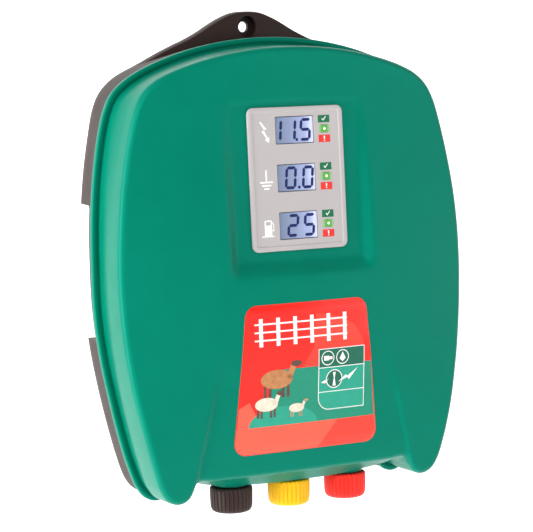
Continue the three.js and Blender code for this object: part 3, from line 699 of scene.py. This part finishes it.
def make_knob(name, side, material, radius):
    """A screw knob: ribbed skirt, rounded foot, dished end, and a recess for the washer above."""
    ribs, segments = 30, 30 * 10
    top, height = SEAT_Z - 0.105, 16
    bottom = top - height
    profile = [
        (9.4, top), (radius - 1.6, top), (radius - 0.7, top - 0.25), (radius - 0.2, top - 0.8),
        (radius, top - 1.6), (radius, top - 3), (radius - 0.1, top - 7), (radius - 0.25, bottom + 4.5),
        (radius - 0.5, bottom + 2.8), (radius - 1.0, bottom + 1.5), (radius - 1.8, bottom + 0.6),
        (radius - 3, bottom + 0.1), (radius - 4, bottom), (radius - 5, bottom + 0.35),
        (4, bottom + 0.6), (0.6, bottom + 0.6),
    ]
    depth = [0, 0, 0, 0.4, 1, 1, 1, 1, 1, 0.9, 0.6, 0.2, 0, 0, 0, 0]

    def wobble(index, angle):
        cut = max(0.0, math.cos(ribs * angle)) ** 0.5
        return 1 - 0.06 * depth[index] * cut

    outer, faces = lathe(profile, segments, side * TERMINAL_PITCH, TERMINAL_Y, wobble=wobble)
    faces = faces[:-2] + [faces[-1]]
    bore = [(9.4, top), (9.4, top - 1.9), (7.0, top - 1.9), (7.0, top - 11.1), (4.6, top - 11.1),
            (4.6, bottom + 1.6), (0.6, bottom + 1.6)]
    first = len(outer)
    inner, _ = lathe(bore, segments, side * TERMINAL_PITCH, TERMINAL_Y)
    faces += [tuple(reversed(f)) for f in ring_faces(len(bore), segments, first=first)]
    faces.append(tuple(range(first + (len(bore) - 1) * segments, first + len(bore) * segments)))
    piece = make(f"knob_body_{name}", outer + inner, faces, material, body=f"screw_knob_{name}", smooth=42)
    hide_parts(f"knob_{name}")
    return piece


make_knob("earth", -1, KNOB_DARK, 13.4)
make_knob("reduced", 0, KNOB_YELLOW, 13.45)
make_knob("fence", 1, KNOB_RED, 13.4)

# ------------------------------------------------------------------ display, in its own leaning frame

LEAN = Matrix.Translation((0, floor_y(PANEL["centre_z"]), PANEL["centre_z"])) @ Matrix.Rotation(
    -math.atan(FLOOR_SLOPE), 4, "X")


def leaning(points):
    return [tuple(LEAN @ Vector(p)) for p in points]


CORNER_STEPS = 6


def rounded_rectangle(half_width, half_height, radius, x=0.0, z=0.0):
    points = []
    for corner, (sx, sz) in enumerate(((1, 1), (-1, 1), (-1, -1), (1, -1))):
        for k in range(CORNER_STEPS + 1):
            angle = math.pi / 2 * (corner + k / CORNER_STEPS)
            points.append((x + sx * (half_width - radius) + radius * math.cos(angle),
                           z + sz * (half_height - radius) + radius * math.sin(angle)))
    return points


def display_part(name, points, faces, material):
    return make(name, leaning(points), faces, material)


def make_panel():
    """The panel's frame: a raised bead round its edge, and windows cut through it."""
    w, h = PANEL["half_width"], PANEL["half_height"]
    r, proud = PANEL["radius"], PANEL["proud"]
    levels = [(0.0, -0.32), (0.0, -proud + 0.5), (-0.2, -proud + 0.15), (-0.6, -proud), (-2.6, -proud),
              (-2.9, -proud + 0.05), (-3.1, -proud + 0.3), (-3.3, FIELD_Y)]
    rings = []
    for inset, y in levels:
        line = rounded_rectangle(w + inset, h + inset, max(r + inset, 0.8))
        rings.append([(x, y, z) for x, z in line])
    back = rounded_rectangle(w - 4.5, h - 4.5, 1.5)
    rings.insert(0, [(x, -0.32, z) for x, z in back])
    rings.insert(0, [(x, 4, z) for x, z in back])
    faces = capped_faces(len(rings), len(rings[0]))
    panel = make("panel_frame", leaning([v for ring in rings for v in ring]), faces, GREY, body=None)
    cuts = []
    for row in range(3):
        z = LCD["first_z"] - row * LCD["pitch"]
        for opening in (LCD, LAMP):
            x, width, height = opening["x"], opening["width"], opening["height"]
            low = (x - width / 2, -12, z - height / 2)
            high = (x + width / 2, 12, z + height / 2)
            window = box_object("window", low, high, 0.5)
            window.data.transform(Matrix.Diagonal((1 / MM, 1 / MM, 1 / MM, 1)))
            window.data.transform(LEAN)
            window.data.transform(Matrix.Diagonal((MM, MM, MM, 1)))
            cuts.append(window)
    combine(panel, cuts, "DIFFERENCE")
    dress(panel, GREY, 30)
    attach(panel, "casing")
    return panel


panel = make_panel()
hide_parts("display_panel")


INK_THICKNESS = 0.05


def flat(name, outlines, y, material):
    """Thin printed shapes on the panel: each outline is a list of (x, z) in the panel's frame."""
    vertices, faces = [], []
    for outline in outlines:
        n, first = len(outline), len(vertices)
        vertices += [(x, y, z) for x, z in outline] + [(x, y + INK_THICKNESS, z) for x, z in outline]
        faces.append(tuple(range(first, first + n)))
        faces.append(tuple(reversed(range(first + n, first + 2 * n))))
        faces += [(first + i, first + n + i, first + n + (i + 1) % n, first + (i + 1) % n)
                  for i in range(n)]
    piece = display_part(name, vertices, faces, material)
    return piece


def bar(x0, z0, x1, z1, width):
    """A straight bar between two points, with pointed ends as on a segment display."""
    a, b = Vector((x0, z0)), Vector((x1, z1))
    along = (b - a).normalized()
    side = Vector((-along.y, along.x)) * width / 2
    tip = along * width / 2
    points = (a, a + tip + side, b - tip + side, b, b - tip - side, a + tip - side)
    return [tuple(p) for p in points]


SEGMENTS = {"0": "abcdef", "1": "bc", "2": "abged", "5": "afgcd"}


def digit(symbol, x, z):
    """Outlines of one seven-segment digit, leaning a little to the right."""
    w, h, thick, slip = 6.2, 12.2, 1.85, 0.09
    gap = 0.12
    corners = {"a": (0, h, w, h), "g": (0, h / 2, w, h / 2), "d": (0, 0, w, 0), "f": (0, h / 2, 0, h),
               "e": (0, 0, 0, h / 2), "b": (w, h / 2, w, h), "c": (w, 0, w, h / 2)}
    out = []
    for segment in SEGMENTS[symbol]:
        x0, z0, x1, z1 = corners[segment]
        a, b = Vector((x0, z0)), Vector((x1, z1))
        trim = (b - a).normalized() * gap
        line = bar(*(a + trim), *(b - trim), thick)
        out.append([(x + px + slip * pz, z + pz) for px, pz in line])
    return out


def rectangle(x0, z0, x1, z1):
    return [(x0, z0), (x1, z0), (x1, z1), (x0, z1)]


def dot(x, z, radius, steps=16):
    return [(x + radius * math.cos(2 * math.pi * k / steps), z + radius * math.sin(2 * math.pi * k / steps))
            for k in range(steps)]


PRINT_Y = FIELD_Y - 0.05
FIELD_RISE = 6.1  # from a lens to the state field above or below it
READINGS = [("upper", [("1", -16.4), ("1", -6.5), (".", 1.4), ("5", 4.0)]),
            ("middle", [("0", -7.6), (".", 1.7), ("0", 4.4)]),
            ("lower", [("2", -7.4), ("5", 4.0)])]

for row, (place, symbols) in enumerate(READINGS):
    z = LCD["first_z"] - row * LCD["pitch"]
    x0, base = LCD["x"], z - 6.1
    w, h = (LCD["width"] - 0.8) / 2, (LCD["height"] - 0.8) / 2
    glass_rings = []
    for inset, y in ((0, 1.4), (0, -0.85), (-0.15, -1.0)):
        glass_rings += [(x, y, pz) for x, pz in rounded_rectangle(w + inset, h + inset, 0.4, x0, z)]
    faces = capped_faces(3, len(glass_rings) // 3)
    face = display_part(f"lcd_face_{place}", glass_rings, faces, LCD_FACE)
    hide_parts(f"lcd_glass_{place}")
    shapes = []
    for symbol, x in symbols:
        if symbol == ".":
            shapes.append(dot(x0 + x, base + 0.1, 0.95))
        else:
            shapes += digit(symbol, x0 + x, base)
    flat(f"lcd_reading_{place}", shapes, -1.06, NAVY)
    lx = LAMP["x"] - 0.1
    for state, rise, fill in (("ok", FIELD_RISE, PRINT_GREEN), ("fault", -FIELD_RISE, PRINT_RED)):
        area = rounded_rectangle(4.1, 2.3, 0.2, lx, z + rise)
        flat(f"{state}_field_{place}", [area], PRINT_Y, fill)
    tz = z + FIELD_RISE
    tick = [(lx - 1.5, tz), (lx - 0.4, tz - 1.3), (lx + 1.6, tz + 1.2),
            (lx + 1.2, tz + 1.5), (lx - 0.4, tz - 0.5), (lx - 1.1, tz + 0.4)]
    tz = z - FIELD_RISE
    mark = [(lx - 0.35, tz - 0.4), (lx + 0.35, tz - 0.4), (lx + 0.5, tz + 1.6), (lx - 0.5, tz + 1.6)]
    marks = [tick, mark, dot(lx, tz - 1.2, 0.42)]
    flat(f"field_marks_{place}", marks, FIELD_Y - 0.1, PRINT_WHITE)
    halo, square = rounded_rectangle(3.9, 2.3, 0.3, lx, z), rounded_rectangle(2.5, 2.2, 0.3, lx + 0.1, z)
    flat(f"lens_{place}_halo", [halo], FIELD_Y - 0.04, HALO)
    flat(f"lens_{place}_square", [square], FIELD_Y - 0.08, LENS)
    flat(f"lens_{place}_dot", [dot(lx + 0.3, z, 0.75)], FIELD_Y - 0.12, LIGHT_DOT)

icon_x = -22.0
bolt_z = LCD["first_z"] - 0.6
bolt = [(icon_x - 3.2, bolt_z + 6.4), (icon_x - 2.1, bolt_z + 6.4), (icon_x + 1.8, bolt_z + 1.6),
        (icon_x - 0.4, bolt_z + 1.5), (icon_x + 2.3, bolt_z - 3.6), (icon_x + 3.5, bolt_z - 3.0),
        (icon_x + 3.0, bolt_z - 6.8), (icon_x + 0.2, bolt_z - 4.6), (icon_x + 1.4, bolt_z - 4.1),
        (icon_x - 2.0, bolt_z + 0.6), (icon_x + 0.1, bolt_z + 0.9)]
ground_z = LCD["first_z"] - LCD["pitch"] - 1.5
ground = [
    rectangle(icon_x - 0.5, ground_z, icon_x + 0.5, ground_z + 7.0),
    rectangle(icon_x - 4.4, ground_z - 1, icon_x + 4.4, ground_z),
    rectangle(icon_x - 3.2, ground_z - 3, icon_x + 3.2, ground_z - 2),
    rectangle(icon_x - 1.8, ground_z - 5, icon_x + 1.8, ground_z - 4),
]
pump_z = LCD["first_z"] - 2 * LCD["pitch"] - 1.0
pump = [
    rectangle(icon_x - 4.6, pump_z - 5.2, icon_x + 4.0, pump_z - 4.5),
    rectangle(icon_x - 2.6, pump_z - 4.5, icon_x + 2.4, pump_z + 2.0),
    [(icon_x - 2.6, pump_z + 2.0), (icon_x - 1.9, pump_z + 2.0),
     (icon_x - 1.9, pump_z + 4.4), (icon_x - 2.6, pump_z + 4.9)],
    [(icon_x + 1.7, pump_z + 2.0), (icon_x + 2.4, pump_z + 2.0),
     (icon_x + 2.4, pump_z + 4.9), (icon_x + 1.7, pump_z + 4.4)],
    [(icon_x - 2.6, pump_z + 4.9), (icon_x - 1.9, pump_z + 4.3), (icon_x + 1.7, pump_z + 4.3),
     (icon_x + 2.4, pump_z + 4.9), (icon_x, pump_z + 5.2)],
    [(icon_x + 2.4, pump_z - 1.6), (icon_x + 3.9, pump_z - 1.6), (icon_x + 3.9, pump_z + 2.6),
     (icon_x + 2.7, pump_z + 4.3), (icon_x + 2.5, pump_z + 3.9), (icon_x + 3.4, pump_z + 2.3),
     (icon_x + 3.4, pump_z - 1.0), (icon_x + 2.4, pump_z - 1.0)],
]
flat("panel_icons", [bolt, *ground, *pump], PRINT_Y, PRINT_WHITE)

# ------------------------------------------------------------------ front label

LABEL = dict(top=-169.7, bottom=-262.6, top_half=43, bottom_half=50.3, corner=8, dome=0.35, dome_run=5)
SKIN_GRID = 2.0  # every skin is cut on the same grid, so that stacked skins follow the same surface


def skin(name, outline, lift, thickness, material):
    """A thin sheet with the given outline that follows the cover's front, `lift` in front of it."""
    bm = bmesh.new()
    bm.faces.new([bm.verts.new((x, 0, z)) for x, z in outline])
    low_x, high_x = min(x for x, _ in outline), max(x for x, _ in outline)
    low_z, high_z = min(z for _, z in outline), max(z for _, z in outline)
    for axis, low, high in (((1, 0, 0), low_x, high_x), ((0, 0, 1), low_z, high_z)):
        for k in range(math.ceil(low / SKIN_GRID), math.floor(high / SKIN_GRID) + 1):
            everything = bm.verts[:] + bm.edges[:] + bm.faces[:]
            bmesh.ops.bisect_plane(bm, geom=everything, plane_co=Vector(axis) * k * SKIN_GRID,
                                   plane_no=axis)
    for v in bm.verts:
        x, z = v.co.x, v.co.z
        inset = min(label_half(z) - abs(x), LABEL["top"] - z, z - LABEL["bottom"])
        v.co.y = front_y(x, z) - lift + LABEL["dome"] * (1 - ease(inset, LABEL["dome_run"]))
    bm.normal_update()
    if thickness:
        made = bmesh.ops.extrude_face_region(bm, geom=bm.faces[:])
        for v in (g for g in made["geom"] if isinstance(g, bmesh.types.BMVert)):
            v.co.y += thickness
    bmesh.ops.recalc_face_normals(bm, faces=bm.faces)
    if not thickness and sum(f.normal.y for f in bm.faces) > 0:
        bmesh.ops.reverse_faces(bm, faces=bm.faces)
    for v in bm.verts:
        v.co *= MM
    mesh = bpy.data.meshes.new(name)
    bm.to_mesh(mesh)
    bm.free()
    piece = finish_object(name, mesh, material, "casing", 40)
    return piece


def label_half(z):
    t = (LABEL["top"] - z) / (LABEL["top"] - LABEL["bottom"])
    return LABEL["top_half"] + (LABEL["bottom_half"] - LABEL["top_half"]) * t


def label_outline():
    right = []
    c = LABEL["corner"]
    for k in range(9):
        a = math.pi / 2 * (1 - k / 8)
        right.append((LABEL["top_half"] - c + c * math.cos(a), LABEL["top"] - c + c * math.sin(a)))
    for k in range(9):
        a = -math.pi / 2 * k / 8
        right.append((LABEL["bottom_half"] - c + c * math.cos(a), LABEL["bottom"] + c + c * math.sin(a)))
    return right + [(-x, z) for x, z in reversed(right)]


def below(outline, top):
    """The part of an outline that lies below a height."""
    out = []
    for i, p in enumerate(outline):
        q = outline[(i + 1) % len(outline)]
        if p[1] <= top:
            out.append(p)
        if (p[1] <= top) != (q[1] <= top):
            t = (top - p[1]) / (q[1] - p[1])
            out.append((p[0] + (q[0] - p[0]) * t, top))
    return out


FILM_LIFT, LEVEL = 0.55, 0.04
PRINT_MARGIN = 0.35
edge_line = label_outline()
label = skin("label_film", edge_line, FILM_LIFT, 0.3, LABEL_RED)
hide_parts("front_label")
inner_line = offset(edge_line, -PRINT_MARGIN)


def inlay(name, outline, level, material):
    """A printed area of the label; a higher level lies over a lower one."""
    return skin(f"label_{name}", outline, FILM_LIFT + LEVEL * level, 0, material)


def label_side(z):
    return label_half(z) - PRINT_MARGIN


BAND_TOP, BAND_BOTTOM = -210.5, -245.5
inlay("lower_band", below(inner_line, BAND_BOTTOM), 1, LABEL_CORAL)
inlay("lower_accent", [(8, -262), (22, -245.6), (label_side(-246), -245.6), (label_side(-254.5), -254.5),
                       (label_side(-257) - 0.9, -257), (46.3, -260.6), (42, -262)], 2, LABEL_MID)
inlay("teal_band", [(-22, BAND_TOP), (label_side(BAND_TOP), BAND_TOP),
                    (label_side(BAND_BOTTOM), BAND_BOTTOM), (-34, BAND_BOTTOM)], 1, LABEL_TEAL)
inlay("upper_accent", [(6, -177), (22, -180), (33, -186), (40, -196), (42, -210.4), (-4, -210.4),
                       (4, -198)], 1, LABEL_MID)
inlay("left_accent", [(-label_side(-233), -233), (-40.5, -229.4), (-36, -238), (-32, -245.4),
                      (-label_side(-245.4), -245.4)], 1, LABEL_CORAL)


def oval(x, z, half_width, half_height, steps=28):
    turns = (2 * math.pi * k / steps for k in range(steps))
    return [(x + half_width * math.cos(a), z + half_height * math.sin(a)) for a in turns]


def animal(name, x, z, length, coat, dark, level):
    """A standing animal seen from the side: `x` is its middle, `z` the ground under its feet."""
    leg, girth = length * 0.3, length * 0.24
    belly = z + leg + girth * 0.7
    for k, place in enumerate((-0.32, -0.18, 0.18, 0.32)):
        middle, half = x + place * length, length * 0.04
        inlay(f"{name}_leg_{k + 1}", rectangle(middle - half, z, middle + half, belly), level, dark)
    neck = [(x + length * 0.24, belly), (x + length * 0.4, belly - girth * 0.2),
            (x + length * 0.56, belly + girth * 1.5), (x + length * 0.4, belly + girth * 1.5)]
    inlay(f"{name}_body", oval(x, belly, length * 0.44, girth), level + 1, coat)
    inlay(f"{name}_neck", neck, level + 1, coat)
    head = oval(x + length * 0.54, belly + girth * 1.5, length * 0.15, length * 0.08)
    inlay(f"{name}_head", head, level + 2, dark)


# Farm animals on a meadow at the lower left, as plain pictograms made of ovals and bars.
inlay("meadow", oval(-17, BAND_BOTTOM, 24, 12, 40)[:21], 2, LABEL_PALE_TEAL)
animal("pony", -22, -228, 25, HORSE, HORSE_DARK, 3)
animal("cow", -29, -240, 18, CREAM, HORSE_DARK, 6)
animal("sheep", -8, -241, 12, CREAM, CREAM_SHADE, 6)

# A plain fence in place of a name: posts with three wires.
for wires, z in (("fence_wires", -181), ("fence_wires_middle", -186), ("fence_wires_lower", -191)):
    inlay(wires, rectangle(-37, z, 28, z - 1), 2, PRINT_WHITE)
for post in range(6):
    x = -34 + post * 11.8
    inlay(f"fence_post_{post + 1}", rectangle(x, -178, x + 2.6, -195.4), 3, PRINT_WHITE)

# A white-lined box of symbols at the lower right.
BOX_LEFT, BOX_RIGHT, BOX_TOP, BOX_BOTTOM = 7.2, 40.6, -200, -239


def box_field(top, bottom, corner, line):
    """A field of the box: `corner` is the radius of its lower left corner."""
    left, right = BOX_LEFT + line, BOX_RIGHT - line
    turn = [(left + corner * (1 - math.cos(a)), bottom + corner * (1 - math.sin(a)))
            for a in (math.pi / 2 * k / 8 for k in range(9))] if corner else [(left, bottom)]
    return [(left, top), *turn, (right, bottom), (right, top)]


def badge(name, x, z, radius, fill):
    inlay(f"{name}_ring", dot(x, z, radius, 32), 5, PRINT_WHITE)
    inlay(f"{name}_disc", dot(x, z, radius - 0.55, 32), 6, fill)


inlay("box_lines", box_field(BOX_TOP, BOX_BOTTOM, 8, 0), 3, PRINT_WHITE)
inlay("box_header", box_field(BOX_TOP - 0.5, -211.8, 0, 0.5), 4, LABEL_DEEP)
inlay("box_middle", box_field(-212.3, -227.2, 0, 0.5), 4, LABEL_PALE_TEAL)
inlay("box_foot", box_field(-227.7, BOX_BOTTOM + 0.5, 7.5, 0.5), 4, LABEL_PALE_TEAL)
badge("plug", 13.8, -206.1, 4.6, LABEL_DEEP)
inlay("plug_body", rectangle(11, -204.6, 14.6, -207.6), 7, PRINT_WHITE)
inlay("plug_pins", rectangle(14.6, -205.2, 17, -207), 7, PRINT_WHITE)
badge("drop", 24.4, -206.1, 4.6, LABEL_DEEP)
inlay("drop_mark", [(24.4, -202.8), (26.6, -207), (24.4, -209), (22.2, -207)], 7, PRINT_WHITE)
badge("meter", 18.6, -219.6, 5.9, LABEL_DEEP)
inlay("meter_needle", [(17.4, -224), (19.8, -224), (18.9, -219), (19.6, -215.4), (17.6, -215.4),
                       (18.3, -219)], 7, PRINT_WHITE)
inlay("spark", [(21.4, -221.8), (27, -217.6), (28.1, -218.7), (35.8, -213.6), (29.2, -221), (28.3, -219.4)],
      7, PRINT_WHITE)
inlay("spark_end", [(9, -221.4), (12.4, -219.6), (12.2, -220.8), (15, -219), (12, -222)], 7, PRINT_WHITE)

# ------------------------------------------------------------------ what the CAD nodes are made of

FINISH = [
    ("housing_seal", RUBBER), ("case_screw", STEEL), ("board_screw", STEEL), ("backlight", WHITE),
    ("status_lens", LENS), ("display_board", CIRCUIT), ("main_board", CIRCUIT), ("knob_insert", BRASS),
    ("clamp_washer", STEEL), ("stud_", STEEL), ("lead_tag", COPPER), ("gland_", BLACK),
    ("output_transformer_core", LAMINATIONS), ("supply_transformer_core", LAMINATIONS),
    ("output_transformer_winding", COIL), ("supply_transformer_winding", COIL),
    ("storage_capacitor", SLEEVE), ("heat_sink", ALUMINIUM), ("thyristor", BLACK),
    ("fuse_holder", BLACK), ("fuse", FUSE_GLASS), ("display_ribbon", WHITE), ("lead_", WIRE),
]
for node_name, node in NODES.items():
    found = [finish for start, finish in FINISH if node_name.startswith(start)]
    if found:
        for slot in node.material_slots:
            slot.material = found[0]

# ------------------------------------------------------------------ floor and light


def make_stage():
    """A pale floor that curves up into a backdrop."""
    low = -1.15
    profile = [(-60, low), (1.2, low)]
    for k in range(1, 13):
        a = math.pi / 2 * k / 12
        profile.append((1.2 + 1.5 * math.sin(a), low + 1.5 * (1 - math.cos(a))))
    profile.append((2.7, 9))
    vertices = [(x / MM, y / MM, z / MM) for x in (-40, 40) for y, z in profile]
    count = len(profile)
    faces = [(i, i + 1, count + i + 1, count + i) for i in range(count - 1)]
    n = Nodes("pale_floor")
    n.link(n.ramp(n.noise(2, 2), [(0.3, (0.93, 0.93, 0.93)), (0.7, (0.96, 0.96, 0.96))]),
           n.shader.inputs["Base Color"])
    n.shader.inputs["Roughness"].default_value = 0.7
    n.shader.inputs["Emission Color"].default_value = (1, 1, 1, 1)
    n.shader.inputs["Emission Strength"].default_value = 0.6
    floor = make("floor", vertices, faces, n.material, body=None, smooth=60)


def area_light(name, place, target, size, power):
    data = bpy.data.lights.new(name, "AREA")
    data.shape = "RECTANGLE"
    data.size, data.size_y = size
    data.energy = power
    light = bpy.data.objects.new(name, data)
    light.location = place
    light.rotation_mode = "QUATERNION"
    light.rotation_quaternion = (Vector(target) - Vector(place)).to_track_quat("-Z", "Y")
    bpy.context.scene.collection.objects.link(light)


make_stage()
area_light("key", (-1.3, -1.5, 1.1), (0, -0.05, -0.14), (1.3, 1.3), 22)
area_light("fill", (1.6, -1.6, 0.3), (0, -0.05, -0.14), (1.4, 1.6), 8)
area_light("side", (-1.9, -0.2, 0.0), (0, -0.03, -0.14), (0.7, 1.8), 44)
world = bpy.data.worlds.new("studio")
world.use_nodes = True
world.node_tree.nodes["Background"].inputs["Color"].default_value = (1, 1, 1, 1)
world.node_tree.nodes["Background"].inputs["Strength"].default_value = 0.38
bpy.context.scene.world = world
bpy.context.scene.view_settings.view_transform = "Standard"
